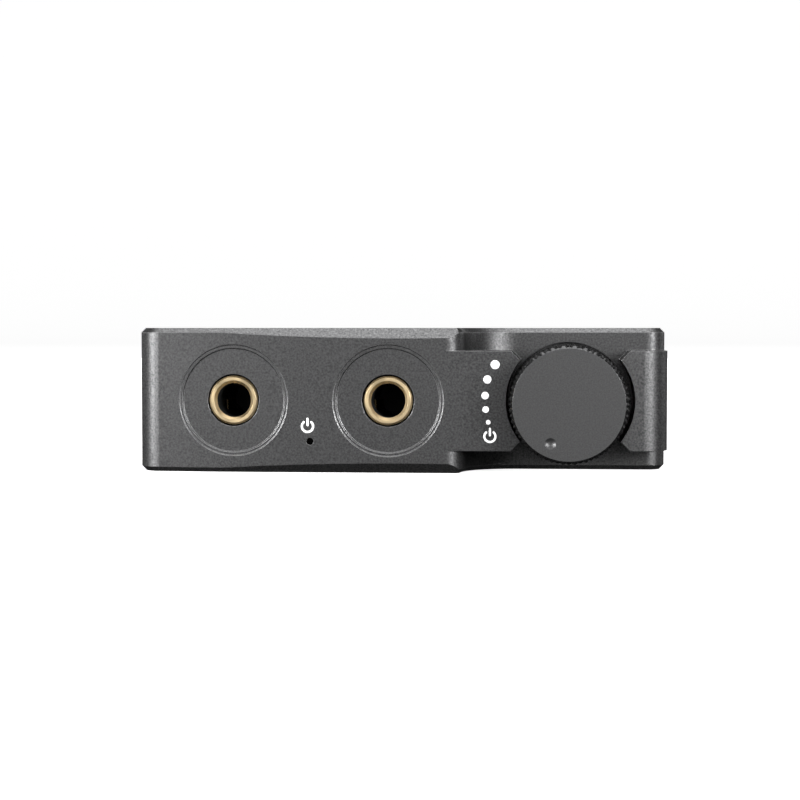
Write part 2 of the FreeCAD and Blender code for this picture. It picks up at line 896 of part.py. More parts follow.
def gain_switch():
    """Slide switch: a folded metal frame on the board, and a slider whose nib comes out at the rear."""
    across, middle = switch_centre()
    wall = S.switch_wall
    start = PANEL_FRONT - S.switch_set_back - S.switch_depth
    shell = centred_block(
        "switch_shell", S.switch_across, start, BOARD_TOP, (S.switch_width, S.switch_depth, S.switch_height),
    )
    inner_depth = S.switch_depth - 2 * wall
    inner_height = S.switch_height - 2 * wall
    hollow = centred_block(
        "switch_hollow",
        S.switch_across,
        start + wall,
        BOARD_TOP + wall,
        (S.switch_width - 2 * wall, inner_depth, inner_height),
    )
    window_height = S.nib_height + 2 * S.nib_play
    window_width = S.nib_width + S.switch_travel + 2 * S.nib_play
    window = block(
        "switch_window",
        (across - S.nib_width / 2 - S.nib_play, start + wall + inner_depth / 2, middle - window_height / 2),
        (window_width, S.switch_depth, window_height),
    )
    node("gain_switch_frame", cut("gain_switch_frame", shell, hollow, window))
    play = S.slider_play
    carriage = centred_block(
        "slider_carriage",
        across,
        start + wall + play,
        BOARD_TOP + wall + play,
        (S.slider_width, inner_depth - 2 * play, inner_height - 2 * play),
    )
    nib_start = start + wall + play
    nib = centred_block(
        "slider_nib",
        across,
        nib_start,
        middle - S.nib_height / 2,
        (S.nib_width, REAR + S.nib_stand - nib_start, S.nib_height),
    )
    node("gain_switch_slider", fuse("gain_switch_slider", carriage, nib))
    pins = []
    for index in range(3):
        pins.append(centred_block(
            f"switch_pin_{index}",
            S.switch_across + (index - 1) * S.switch_pin_pitch,
            start - S.switch_pin_length,
            BOARD_TOP,
            (S.switch_pin_width, S.switch_pin_length, S.lead_thick),
        ))
    node("gain_switch_terminals", group("gain_switch_terminals", pins))


# Jacks: a plated ring pressed in the mouth of a moulded body, with leaf contacts round its bore.


def leaf(name, plane, spine, shift, offset):
    """A bent strip of spring metal: its spine, and the same line shifted by its thickness."""
    back = [(first + shift[0], second + shift[1]) for first, second in reversed(spine)]
    return plate(name, plane, spine + back, offset, S.leaf_width, midplane=True)


def bent_spine(across, along, side):
    """Corners of a leaf that leans in to the plug, runs straight, and leans out again."""
    near = across + side * S.leaf_reach
    rest = across + side * S.leaf_rest
    bend = along + S.leaf_slope
    return [
        (rest, along),
        (near, bend),
        (near, bend + S.leaf_flat),
        (rest, bend + S.leaf_flat + S.leaf_slope),
    ]


def jack_contacts(name, across):
    upright = [(along, height) for height, along in bent_spine(MIDDLE, JACK_FRONT + S.sleeve_leaf_start, 1)]
    leaves = [leaf(f"{name}_sleeve_leaf", "YZ_Plane", upright, (0, S.leaf_thick), across)]
    for leaf_name, side, start in (("ring", 1, S.ring_leaf_start), ("tip", -1, S.tip_leaf_start)):
        spine = bent_spine(across, JACK_FRONT + start, side)
        shift = (side * S.leaf_thick, 0)
        leaves.append(leaf(f"{name}_{leaf_name}_leaf", "XY_Plane", spine, shift, MIDDLE - S.leaf_low))
    tabs = []
    for side_name, side in (("left", -1), ("right", 1)):
        for end_name, along in (("front", S.tab_front), ("rear", S.tab_rear)):
            tabs.append(centred_block(
                f"{name}_{side_name}_{end_name}_tab",
                across + side * (S.jack_width + S.tab_length) / 2,
                JACK_FRONT + along,
                BOARD_TOP,
                (S.tab_length, S.tab_width, S.lead_thick),
            ))
    node(f"{name}_jack_contacts", group(f"{name}_jack_contacts", leaves + tabs))


def jack(name, across):
    face = FRONT + bow_drop(across) + S.ring_sink
    lip = S.ring_chamfer
    ring = fuse(
        f"{name}_ring",
        cone(f"{name}_lip", (across, face, MIDDLE), S.ring_radius - lip, S.ring_radius, lip),
        rod(f"{name}_barrel", (across, face + lip, MIDDLE), S.ring_radius, JACK_FRONT - face - lip),
    )
    bore = rod(
        f"{name}_ring_bore", (across, face - S.cut_past, MIDDLE), S.jack_bore, S.front_wall + 2 * S.cut_past,
    )
    mouth = cone(
        f"{name}_ring_mouth", (across, face, MIDDLE), S.ring_mouth, S.jack_bore, S.ring_countersink,
    )
    node(f"{name}_jack_ring", cut(f"{name}_jack_ring", ring, bore, mouth))
    block_size = (S.jack_width, S.jack_length, 2 * S.jack_axis)
    moulding = centred_block(f"{name}_moulding", across, JACK_FRONT, BOARD_TOP, block_size)
    depth = S.jack_length - S.jack_back + S.cut_past
    tunnel = rod(f"{name}_tunnel", (across, JACK_FRONT - S.cut_past, MIDDLE), S.jack_tunnel, depth)
    # The sleeve leaf's slot is open at the top; one slot across the bore holds both side leaves.
    play = S.leaf_slot_play
    slot_width = S.leaf_width + 2 * play
    leaf_length = 2 * S.leaf_slope + S.leaf_flat + 2 * play
    top_slot = centred_block(
        f"{name}_top_slot",
        across,
        JACK_FRONT + S.sleeve_leaf_start - play,
        MIDDLE,
        (slot_width, leaf_length, S.jack_axis + S.cut_past),
    )
    side_slot = centred_block(
        f"{name}_side_slot",
        across,
        JACK_FRONT + S.ring_leaf_start - play,
        MIDDLE - S.leaf_low - slot_width / 2,
        (
            2 * (S.leaf_rest + S.leaf_thick + play),
            S.tip_leaf_start - S.ring_leaf_start + leaf_length,
            slot_width,
        ),
    )
    node(f"{name}_jack_body", cut(f"{name}_jack_body", moulding, tunnel, top_slot, side_slot))
    jack_contacts(name, across)


# Knob and switched potentiometer.


def knob_cup():
    """Knob turned from bar: solid face, hollow behind for the insert."""
    length = S.knob_stand + S.scoop_depth + S.pocket_depth - S.knob_gap
    chamfer = S.knob_chamfer
    body = new_body("knob_cup")
    sketch = new_sketch(body, "knob_profile", "XY_Plane")
    polygon(sketch, [
        (0, 0),
        (S.knob_radius - chamfer, 0),
        (S.knob_radius, chamfer),
        (S.knob_radius, length - chamfer),
        (S.knob_radius - chamfer, length),
        (S.insert_radius, length),
        (S.insert_radius, S.knob_face),
        (0, S.knob_face),
    ])
    turn = body.newObject("PartDesign::Revolution", "knob_turning")
    turn.Profile = sketch
    turn.ReferenceAxis = (sketch, ["V_Axis"])
    turn.Angle = 360
    body.Tip = turn
    return place(body, (S.knob_across, FRONT - S.knob_stand, KNOB_HEIGHT))


def flatted_rod(name, radius, flat, start, length):
    """A D-shaped bar along the knob's axis; flat is the axis's distance to its flat side."""
    bar = rod(f"{name}_round", (S.knob_across, start, KNOB_HEIGHT), radius, length)
    past = S.cut_past
    side = centred_block(
        f"{name}_side",
        S.knob_across,
        start - past,
        KNOB_HEIGHT + flat,
        (2 * (radius + past), length + 2 * past, radius),
    )
    return cut(name, bar, side)


def knob():
    dimple = doc.addObject("Part::Sphere", "dimple")
    bind(dimple, "Radius", S.dimple_ball)
    height = root(S.dimple_ball * S.dimple_ball - S.dimple_radius * S.dimple_radius)
    place(dimple, (
        S.knob_across + S.dimple_orbit * cosine(S.dimple_angle),
        FRONT - S.knob_stand - height,
        KNOB_HEIGHT + S.dimple_orbit * sine(S.dimple_angle),
    ))
    node("volume_knob", cut("volume_knob", knob_cup(), dimple))
    start = FRONT - S.knob_stand + S.knob_face
    length = WELL_FLOOR - S.knob_gap - S.body_gap - start
    fit = S.insert_fit
    plug = rod("insert_plug", (S.knob_across, start, KNOB_HEIGHT), S.insert_radius - fit, length)
    socket = flatted_rod(
        "insert_socket",
        S.shaft_radius + fit,
        S.shaft_flat + fit,
        SHAFT_TIP - S.body_gap,
        length + S.cut_past,
    )
    node("knob_insert", cut("knob_insert", plug, socket))


def pot_block(name, start, depth):
    """A square slice of the potentiometer, centred on the knob's axis."""
    return centred_block(
        name, S.knob_across, start, KNOB_HEIGHT - S.pot_width / 2, (S.pot_width, depth, S.pot_width),
    )


def pot_rod(name, start, radius, length):
    return rod(name, (S.knob_across, start, KNOB_HEIGHT), radius, length)


def potentiometer():
    """Switched potentiometer: bushing, case with the resistive track, and the switch case behind."""
    plate_block = pot_block("bushing_plate", POT_FRONT, S.pot_plate)
    collar = pot_rod("bushing_collar", WELL_FLOOR + S.bushing_play, S.bushing_radius, S.well_wall)
    bore = pot_rod(
        "bushing_bore",
        WELL_FLOOR - S.cut_past,
        S.shaft_radius + S.shaft_play,
        S.well_wall + S.pot_plate + 2 * S.cut_past,
    )
    node("pot_bushing", cut("pot_bushing", fuse("bushing_blank", plate_block, collar), bore))
    case = pot_block("case_block", POT_CASE, S.pot_depth)
    floor = POT_CASE + S.pot_depth - S.pot_back
    chamber = pot_rod("case_chamber", POT_CASE - S.cut_past, S.pot_chamber, floor - POT_CASE + S.cut_past)
    node("pot_case", cut("pot_case", case, chamber))
    node("pot_track", pot_rod("pot_track", floor - S.pot_wafer, S.pot_chamber - S.near_gap, S.pot_wafer))
    node("pot_switch_case", pot_block("pot_switch_case", POT_SWITCH, S.pot_switch_depth))
    pins = []
    count = 5
    for index in range(count):
        pins.append(centred_block(
            f"pot_pin_{index}",
            S.knob_across + (index - (count - 1) / 2) * S.pot_pin_pitch,
            POT_SWITCH + S.pot_switch_depth,
            BOARD_TOP,
            (S.pot_pin_width, S.pot_pin_length, S.lead_thick),
        ))
    node("pot_terminals", group("pot_terminals", pins))


def pot_shaft():
    """Flatted shaft with the rotor and its wiper, which turn with the knob."""
    start = POT_CASE + S.body_gap
    shaft = pot_rod("shaft_round", SHAFT_TIP, S.shaft_radius, start - SHAFT_TIP)
    flat_start = SHAFT_TIP - S.cut_past
    flat_length = WELL_FLOOR - S.body_gap - flat_start
    flat = centred_block(
        "shaft_flat",
        S.knob_across,
        flat_start,
        KNOB_HEIGHT + S.shaft_flat,
        (2 * (S.shaft_radius + S.cut_past), flat_length, S.shaft_radius),
    )
    node("pot_shaft", cut("pot_shaft", shaft, flat))
    node("pot_rotor", pot_rod("pot_rotor", start, S.rotor_radius, S.rotor_thick))
    wiper = start + S.rotor_thick
    strip = centred_block(
        "wiper_strip",
        S.knob_across,
        wiper,
        KNOB_HEIGHT - S.wiper_width / 2,
        (2 * S.rotor_radius - S.wiper_width, S.wiper_thick, S.wiper_width),
    )
    node("pot_wiper", fuse("pot_wiper", strip, pot_rod("wiper_hub", wiper, S.wiper_hub, S.wiper_thick)))


# Lights: a lamp on the board shines through a clear pin in the wall.


def light(name, across, height, pin_start, pin_end, foot_start):
    """A clear pin through a wall, with a square foot that faces the lamp."""
    pin = rod(f"{name}_pin", (across, pin_start, height), S.light_radius, pin_end - pin_start)
    foot = centred_block(
        f"{name}_foot",
        across,
        foot_start,
        height - S.foot_height / 2,
        (S.foot_width, S.lamp_depth, S.foot_height),
    )
    node(f"{name}_light_pipe", fuse(f"{name}_light_pipe", pin, foot))


def lamp(name, across, start, low):
    node(name, centred_block(name, across, start, low, (S.lamp_width, S.lamp_depth, S.lamp_depth)))


def lights():
    across = S.power_light_across
    foot_start = FRONT + S.front_wall + S.lamp_gap
    face = FRONT + bow_drop(across) + S.light_sink
    light("power", across, MIDDLE - S.power_light_drop, face, foot_start, foot_start)
    lamp("power_led", across, foot_start + S.lamp_depth + S.lamp_gap, BOARD_BOTTOM - S.lamp_depth)
    across = S.charge_light_across
    foot_start = PANEL_FRONT - S.lamp_gap - S.lamp_depth
    height = BOARD_TOP + S.port_height / 2
    light("charge", across, height, foot_start + S.lamp_depth, REAR - S.light_sink, foot_start)
    lamp("charge_led", across, foot_start - S.lamp_gap - S.lamp_depth, BOARD_TOP)


# Main board and what is soldered to it.


def main_board():
    """Board outline: a tongue reaches forward to the jacks, and the knob's corner is left out."""
    bay_edge = RAIL_HALF - S.board_play
    wide_edge = HALF_WIDTH - S.side_wall + S.rail_groove - S.board_play
    tongue_front = JACK_FRONT + S.board_play
    wide_front = CAVITY_FRONT + S.board_play
    pot_edge = S.knob_across - S.pot_width / 2 - S.pot_clearance
    pot_rear = POT_SWITCH + S.pot_switch_depth + S.body_gap
    node("main_board", plate("main_board", "XY_Plane", [
        (-bay_edge, tongue_front),
        (S.tongue_right, tongue_front),
        (S.tongue_right, wide_front),
        (pot_edge, wide_front),
        (pot_edge, pot_rear),
        (wide_edge, pot_rear),
        (wide_edge, BOARD_REAR),
        (-wide_edge, BOARD_REAR),
        (-wide_edge, wide_front),
        (-bay_edge, wide_front),
    ], BOARD_BOTTOM, S.board_thick))


def chip_leads(chip, across):
    """Eight leads, four along each long side of a package."""
    middle = FRONT + S.chip_start + S.chip_length / 2
    rows = 4
    leads = []
    for side_name, side in (("left", -1), ("right", 1)):
        for row in range(rows):
            along = middle + (row - (rows - 1) / 2) * S.lead_pitch - S.lead_width / 2
            leads.append(centred_block(
                f"chip_lead_{chip}_{row}_{side_name}",
                across + side * (S.chip_width + S.lead_length) / 2,
                along,
                BOARD_TOP,
                (S.lead_length, S.lead_width, S.lead_thick),
            ))
    return leads


def amplifier_chips():
    """Two dual amplifiers and an output buffer in eight-lead packages, in a row across the board."""
    packages = []
    leads = []
    for index in range(3):
        across = S.chip_middle + (index - 1) * S.chip_pitch
        packages.append(centred_block(
            f"chip_{index}",
            across,
            FRONT + S.chip_start,
            BOARD_TOP + S.chip_lift,
            (S.chip_width, S.chip_length, S.chip_height),
        ))
        leads += chip_leads(index, across)
    node("amplifier_chips", group("amplifier_chips", packages))
    node("amplifier_chip_leads", group("amplifier_chip_leads", leads))


def row_of(name, count, pitch, start, size):
    """Equal blocks standing on the board in a row across it."""
    pieces = []
    for index in range(count):
        across = (index - (count - 1) / 2) * pitch
        pieces.append(centred_block(f"{name}_{index}", across, start, BOARD_TOP, size))
    return pieces


def capacitors():
    """Surface-mount electrolytic cans on moulded bases, and small ceramic ones."""
    count = 5
    width = 2 * S.can_radius + S.can_margin
    middle = FRONT + S.can_row
    bases = row_of("can_base", count, S.can_pitch, middle - width / 2, (width, width, S.can_base))
    cans = []
    for index in range(count):
        place_on_base = ((index - (count - 1) / 2) * S.can_pitch, middle, BOARD_TOP + S.can_base)
        cans.append(rod(f"can_{index}", place_on_base, S.can_radius, S.can_height, axis="Z"))
    node("capacitor_cans", group("capacitor_cans", cans))
    node("capacitor_bases", group("capacitor_bases", bases))
    size = (S.ceramic_width, S.ceramic_length, S.ceramic_height)
    ceramics = row_of("ceramic", 8, S.ceramic_pitch, FRONT + S.ceramic_row, size)
    node("ceramic_capacitors", group("ceramic_capacitors", ceramics))


def resistors():
    size = (S.resistor_width, S.resistor_length, S.resistor_height)
    pieces = []
    for row in range(2):
        start = FRONT + S.resistor_row + row * S.resistor_row_pitch
        pieces += row_of(f"resistor_{row}", 9, S.resistor_pitch, start, size)
    node("chip_resistors", group("chip_resistors", pieces))


def power_parts():
    """Charge controller and its inductor, near the charging port."""
    start = BOARD_REAR - S.power_row
    charger = (S.charger_width, S.charger_width, S.charger_height)
    node("charge_controller", centred_block(
        "charge_controller", S.charger_across, start, BOARD_TOP, charger,
    ))
    inductor = (S.inductor_width, S.inductor_width, S.inductor_height)
    node("power_inductor", centred_block("power_inductor", S.inductor_across, start, BOARD_TOP, inductor))


# Battery: a flat pouch cell over the board, taped to the ceiling and screened by a sheet.
BATTERY_TOP = CEILING - S.pad_thick
BATTERY_LOW = BATTERY_TOP - S.battery_thick
BATTERY_START = FRONT + S.battery_start
GUARD_START = BATTERY_START - 2 * S.guard_thick
GUARD_LOW = BATTERY_LOW + S.guard_lift


def battery():
    half = S.battery_width / 2
    cell = plate("battery_cell", "XZ_Plane", [
        (-half, BATTERY_LOW),
        (half, BATTERY_LOW),
        (half, BATTERY_TOP),
        (-half, BATTERY_TOP),
    ], -(BATTERY_START + S.battery_length), S.battery_length)
    dress(cell, "Fillet", edges_along(cell, "Y"), S.battery_edge)
    node("battery_cell", cell)
    inset = S.pad_inset
    node("battery_pad", centred_block(
        "battery_pad",
        0,
        BATTERY_START + inset,
        BATTERY_TOP,
        (S.battery_width - 2 * inset, S.battery_length - 2 * inset, S.pad_thick),
    ))
    node("insulating_sheet", centred_block(
        "insulating_sheet",
        0,
        BATTERY_START,
        BATTERY_LOW - S.sheet_thick,
        (S.battery_width - 2 * S.battery_edge, S.battery_length, S.sheet_thick),
    ))


def battery_guard():
    """Protection board at the cell's front end, with straps down to the main board."""
    node("battery_guard_board", centred_block(
        "battery_guard_board", 0, GUARD_START, GUARD_LOW, (S.guard_width, S.guard_thick, S.guard_height),
    ))
    straps = []
    for name, side in (("positive", -1), ("negative", 1)):
        across = side * S.strap_across
        drop = centred_block(
            f"{name}_drop",
            across,
            GUARD_START - S.strap_thick,
            BOARD_TOP,
            (S.strap_width, S.strap_thick, GUARD_LOW + S.strap_overlap - BOARD_TOP),
        )
        foot = centred_block(
            f"{name}_foot", across, GUARD_START, BOARD_TOP, (S.strap_width, S.strap_foot, S.strap_thick),
        )
        cell_tab = centred_block(
            f"{name}_cell_tab",
            across,
            GUARD_START + S.guard_thick,
            GUARD_LOW + S.strap_overlap,
            (S.strap_width, S.guard_thick, S.strap_thick),
        )
        straps += [fuse(f"{name}_strap", drop, foot), cell_tab]
    node("battery_tabs", group("battery_tabs", straps))


def check_document():
    for item in doc.Objects:
        if "Invalid" in item.State or "Error" in item.State:
            raise RuntimeError(f"{item.Name} failed: {item.State}")
    for name, shape in NODES:
        if shape.Shape.isNull() or not shape.Shape.isValid() or not shape.Shape.Solids:
            raise RuntimeError(f"{name} has no valid solid")


def build():
    housing()
    rear_panel()
    rear_panel_screws()
    charging_port()
    gain_switch()
    jack("headphone", S.headphone_across)
    jack("line_in", S.line_in_across)
    knob()
    potentiometer()
    pot_shaft()
    lights()
    main_board()
    amplifier_chips()
    capacitors()
    resistors()
    power_parts()
    battery()
    battery_guard()
    doc.recompute()
    check_document()
    os.makedirs("parts", exist_ok=True)
    for name, shape in NODES:
        shape.Shape.exportStep(f"parts/{name}.step")
        print(f"{name}: {shape.Shape.Volume:.2f} mm3, {len(shape.Shape.Solids)} solid(s)")


build()
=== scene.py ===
import json
import math

import bmesh
import bpy
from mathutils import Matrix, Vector


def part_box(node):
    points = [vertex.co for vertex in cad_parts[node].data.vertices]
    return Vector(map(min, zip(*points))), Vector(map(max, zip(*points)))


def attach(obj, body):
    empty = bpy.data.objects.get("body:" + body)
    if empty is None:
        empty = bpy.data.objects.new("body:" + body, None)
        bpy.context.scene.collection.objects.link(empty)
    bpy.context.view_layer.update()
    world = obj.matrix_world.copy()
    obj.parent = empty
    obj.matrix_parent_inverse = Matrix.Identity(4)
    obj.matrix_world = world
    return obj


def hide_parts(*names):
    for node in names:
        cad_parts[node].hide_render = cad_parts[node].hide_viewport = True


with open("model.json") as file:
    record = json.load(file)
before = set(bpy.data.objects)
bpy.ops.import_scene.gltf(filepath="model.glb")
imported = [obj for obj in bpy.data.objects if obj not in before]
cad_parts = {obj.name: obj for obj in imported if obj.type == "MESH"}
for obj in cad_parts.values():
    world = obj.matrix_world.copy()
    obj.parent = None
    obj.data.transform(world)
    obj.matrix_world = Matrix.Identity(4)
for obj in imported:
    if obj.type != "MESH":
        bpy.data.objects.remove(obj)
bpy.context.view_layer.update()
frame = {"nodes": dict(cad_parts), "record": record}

MM = 0.001

# Places taken from the frame.
HOUSING_LOW, HOUSING_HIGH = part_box("housing")
KNOB_LOW, KNOB_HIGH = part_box("volume_knob")
FRONT = HOUSING_LOW.y
MIDDLE = (HOUSING_LOW.z + HOUSING_HIGH.z) / 2
TOP = HOUSING_HIGH.z
KNOB_AXIS = Vector(((KNOB_LOW.x + KNOB_HIGH.x) / 2, 0, (KNOB_LOW.z + KNOB_HIGH.z) / 2))
KNOB_RADIUS = (KNOB_HIGH.x - KNOB_LOW.x) / 2
KNOB_LENGTH = KNOB_HIGH.y - KNOB_LOW.y

# Front face: the radius of its bow.
FRONT_BOW = 300 * MM

# Jack bore walls are painted black as shade; these two numbers pick them out.
# Jacks: a little over the bore's radius, and the most a bore wall's normal leans along the bore.
JACK_BORE = 1.9 * MM
BORE_LEAN = 0.1

# Knob. KNURL_FLAT is how steep the grooves' sides are: over 1 leaves flats on the diamonds' tops.
KNURL_COUNT = 32
KNURL_STEPS = 8
KNURL_DEPTH = 0.36 * MM
KNURL_FLAT = 1.1
KNOB_CHAMFER = 0.42 * MM
KNOB_BORE = 4.6 * MM
KNOB_FACE = 1.4 * MM
KNOB_SHARP = math.radians(14)
DIMPLE_RADIUS = 0.58 * MM
DIMPLE_BALL = 0.95 * MM
DIMPLE_BALL_SUBDIVISIONS = 5
DIMPLE_ORBIT = 4.41 * MM
DIMPLE_ANGLE = math.radians(244.4)
FLAT_FACE = 0.99

# Printed marks, placed from the middle of the object and the middle of the front's height.
PRINT_LIFT = 0.012 * MM
PRINT_SUNK = 0.03 * MM
CIRCLE_POINTS = 48
ARC_POINTS = 64
ARC_END_POINTS = 10
BAR_END_POINTS = 12
SYMBOL_STROKE = 0.23 * MM
SYMBOL_GAP = math.radians(42)
SYMBOL_BAR = 0.92 * MM
VOLUME_MARKS = (
    (9.47, -2.24, 0.245),
    (9.2, -0.89, 0.35),
    (9.14, 0.59, 0.4),
    (9.37, 2.3, 0.43),
    (10.19, 3.87, 0.475),
)
OFF_MARK = (9.65, -3.74, 0.7)
POWER_LIGHT_MARK = (-9.82, -2.75, 0.72)

# Stage, in metres.
FLOOR_REACH = 2.5
FLOOR_CURVE = 0.8
FLOOR_CURVE_STEPS = 24
FLOOR_SEGMENTS = 96
FLOOR_SMOOTH = math.radians(40)
BACKDROP_TOP = 3.0
FLOOR_WHITE = (0.93, 0.93, 0.93)
FLOOR_GLOW = 0.9
WORLD_GLOW = 0.05

# Camera.
LENS = 83.19
SENSOR = 36
NEAREST = 0.01
FARTHEST = 20
EYE = Vector((15.97 * MM, FRONT - 195.6 * MM, TOP))
LOOKS_AT = Vector((0.107 * MM, FRONT, MIDDLE + 0.098 * MM))


# Mesh helpers


def mesh_piece(name, bm, smooth_angle=None):
    """Turn a bmesh into an object; faces that meet within the angle are shaded smooth."""
    bmesh.ops.recalc_face_normals(bm, faces=bm.faces)
    mesh = bpy.data.meshes.new(name)
    bm.to_mesh(mesh)
    bm.free()
    piece = bpy.data.objects.new(name, mesh)
    bpy.context.scene.collection.objects.link(piece)
    if smooth_angle is not None:
        shade_smooth(mesh, smooth_angle)
    return piece


def shade_smooth(mesh, angle):
    mesh.shade_smooth()
    mesh.set_sharp_from_angle(angle=angle)


def bridge(bm, first, second):
    """Join two closed rings of as many points with a band of faces."""
    count = len(first)
    for index in range(count):
        after = (index + 1) % count
        bm.faces.new((first[index], first[after], second[after], second[index]))


def applied(piece):
    """Replace a piece's mesh with what its modifiers make of it."""
    graph = bpy.context.evaluated_depsgraph_get()
    mesh = bpy.data.meshes.new_from_object(piece.evaluated_get(graph))
    piece.modifiers.clear()
    piece.data = mesh


# Material helpers: textures lie in the object's own coordinates, so grain stays on the metal.


def new_material():
    """A material that its maker names later, with its node tree and shader."""
    material = bpy.data.materials.new("material")
    material.use_nodes = True
    tree = material.node_tree
    return material, tree, tree.nodes["Principled BSDF"]


def feed(tree, socket, value):
    """Join a socket to another node's output, or set it to a number or a colour."""
    if isinstance(value, bpy.types.NodeSocket):
        tree.links.new(value, socket)
    else:
        socket.default_value = value


def set_inputs(tree, node, **inputs):
    """Feed a node's inputs by name, with _ for each space."""
    for name, value in inputs.items():
        feed(tree, node.inputs[name.replace("_", " ")], value)


def add_node(tree, kind, **inputs):
    made = tree.nodes.new(kind)
    set_inputs(tree, made, **inputs)
    return made


def noise(tree, scale, detail=2.0, stretch=(1, 1, 1)):
    """Noise in object coordinates; scale is in cycles per metre."""
    coordinates = add_node(tree, "ShaderNodeTexCoord").outputs["Object"]
    mapped = add_node(tree, "ShaderNodeMapping", Vector=coordinates, Scale=stretch).outputs["Vector"]
    return add_node(tree, "ShaderNodeTexNoise", Vector=mapped, Scale=scale, Detail=detail).outputs["Fac"]


def remap(tree, value, low, high, start=0.3, end=0.7):
    """Spread a noise value between two numbers."""
    inputs = {"Value": value, "From Min": start, "From Max": end, "To Min": low, "To Max": high}
    return add_node(tree, "ShaderNodeMapRange", **inputs).outputs["Result"]


def blend_colours(tree, factor, first, second):
    """Mix two colours, each given as three numbers or as a node's output."""
    made = add_node(tree, "ShaderNodeMix")
    made.data_type = "RGBA"
    feed(tree, made.inputs["Factor"], factor)
    colour_sockets = [socket for socket in made.inputs if socket.type == "RGBA"]
    for socket, colour in zip(colour_sockets, (first, second)):
        feed(tree, socket, colour if isinstance(colour, bpy.types.NodeSocket) else (*colour, 1))
    return next(socket for socket in made.outputs if socket.type == "RGBA")


def scaled(colour, factor):
    return tuple(channel * factor for channel in colour)


def bump(tree, height, depth, strength=1.0, normal=None):
    made = add_node(tree, "ShaderNodeBump", Height=height, Distance=depth, Strength=strength)
    if normal is not None:
        tree.links.new(normal, made.inputs["Normal"])
    return made.outputs["Normal"]


def softened_edges(tree, radius):
    made = add_node(tree, "ShaderNodeBevel", Radius=radius)
    made.samples = 4
    return made.outputs["Normal"]


def edge_mask(tree, soft_normal, start, end):
    """Near an edge the softened normal leaves the surface's own one; give 1 there and 0 elsewhere."""
    geometry = add_node(tree, "ShaderNodeNewGeometry")
    dot = add_node(tree, "ShaderNodeVectorMath")
    dot.operation = "DOT_PRODUCT"
    tree.links.new(soft_normal, dot.inputs[0])
    tree.links.new(geometry.outputs["Normal"], dot.inputs[1])
    return remap(tree, dot.outputs["Value"], low=1, high=0, start=start, end=end)


# Materials


def anodised(dark, light, grain, roughness, depth, edge, wear_and_highlight):
    """Bead-blasted and dyed aluminium: a fine sparkle of pits, soft tonal drift, and paler edges that are
    partly wear and partly a painted highlight.
    """
    material, tree, shader = new_material()
    pits = noise(tree, scale=grain, detail=3.0)
    drift = noise(tree, scale=90)
    soft = softened_edges(tree, edge)
    colour = blend_colours(tree, remap(tree, pits, low=0, high=1), dark, light)
    colour = blend_colours(tree, remap(tree, drift, low=0, high=0.18), colour, scaled(light, 0.9))
    # Paler edges: partly wear, partly a painted highlight standing in for edges that catch the side lights.
    colour = blend_colours(tree, edge_mask(tree, soft, start=0.9, end=0.995), colour, scaled(light, wear_and_highlight))
    set_inputs(
        tree,
        shader,
        Base_Color=colour,
        Metallic=0.9,
        Specular_Tint=(0.25, 0.25, 0.25, 1),
        Roughness=remap(tree, pits, low=roughness + 0.05, high=roughness - 0.05),
        Normal=bump(tree, pits, depth, strength=0.7, normal=soft),
    )
    return material


def plated(colour, roughness, edge=0.04 * MM, stretch=(1, 1, 1), metallic=1.0):
    """Plated or bare metal with fine tool marks and slightly uneven polish."""
    material, tree, shader = new_material()
    marks = noise(tree, scale=900, detail=4.0, stretch=stretch)
    haze = noise(tree, scale=400)
    soft = softened_edges(tree, edge)
    set_inputs(
        tree,
        shader,
        Base_Color=blend_colours(tree, remap(tree, haze, low=0, high=1), scaled(colour, 0.82), colour),
        Metallic=metallic,
        Roughness=remap(tree, marks, low=roughness * 0.75, high=roughness * 1.3),
        Normal=bump(tree, marks, depth=0.004 * MM, strength=0.4, normal=soft),
    )
    return material


def moulded(colour, roughness, grain=2500, depth=0.01 * MM):
    """Moulded plastic with a spark-eroded texture."""
    material, tree, shader = new_material()
    texture = noise(tree, scale=grain, detail=3.0)
    paler = tuple(min(1.0, channel * 1.35 + 0.004) for channel in colour)
    set_inputs(
        tree,
        shader,
        Base_Color=blend_colours(tree, remap(tree, texture, low=0, high=1), colour, paler),
        Roughness=remap(tree, texture, low=roughness - 0.06, high=roughness + 0.06),
        Normal=bump(tree, texture, depth, strength=0.5),
    )
    return material


def clear_moulding(dark, light):
    """Smoked clear plastic of the light pipes: dark until the lamp behind is lit."""
    material, tree, shader = new_material()
    flow = noise(tree, scale=1500)
    set_inputs(
        tree,
        shader,
        Base_Color=blend_colours(tree, remap(tree, flow, low=0, high=1), dark, light),
        Roughness=remap(tree, flow, low=0.25, high=0.4),
        Specular_IOR_Level=0.1,
        Normal=bump(tree, flow, depth=0.005 * MM, strength=0.3),
    )
    return material


def circuit_board(mask, mask_light, track, shade):
    """Solder mask over copper: straight tracks show as slightly raised, paler lines."""
    material, tree, shader = new_material()
    coordinates = add_node(tree, "ShaderNodeTexCoord").outputs["Object"]
    tracks = add_node(
        tree,
        "ShaderNodeTexBrick",
        Vector=coordinates,
        Scale=260,
        Mortar_Size=0.03,
        Color1=(*mask, 1),
        Color2=(*mask_light, 1),
        Mortar=(*track, 1),
    )
    cloud = noise(tree, scale=300, detail=3.0)
    set_inputs(
        tree,
        shader,
        Base_Color=blend_colours(
            tree, remap(tree, cloud, low=0, high=0.4), tracks.outputs["Color"], shade
        ),
        Roughness=remap(tree, cloud, low=0.25, high=0.4),
        Normal=bump(tree, tracks.outputs["Fac"], depth=0.03 * MM, strength=0.6),
    )
    return material


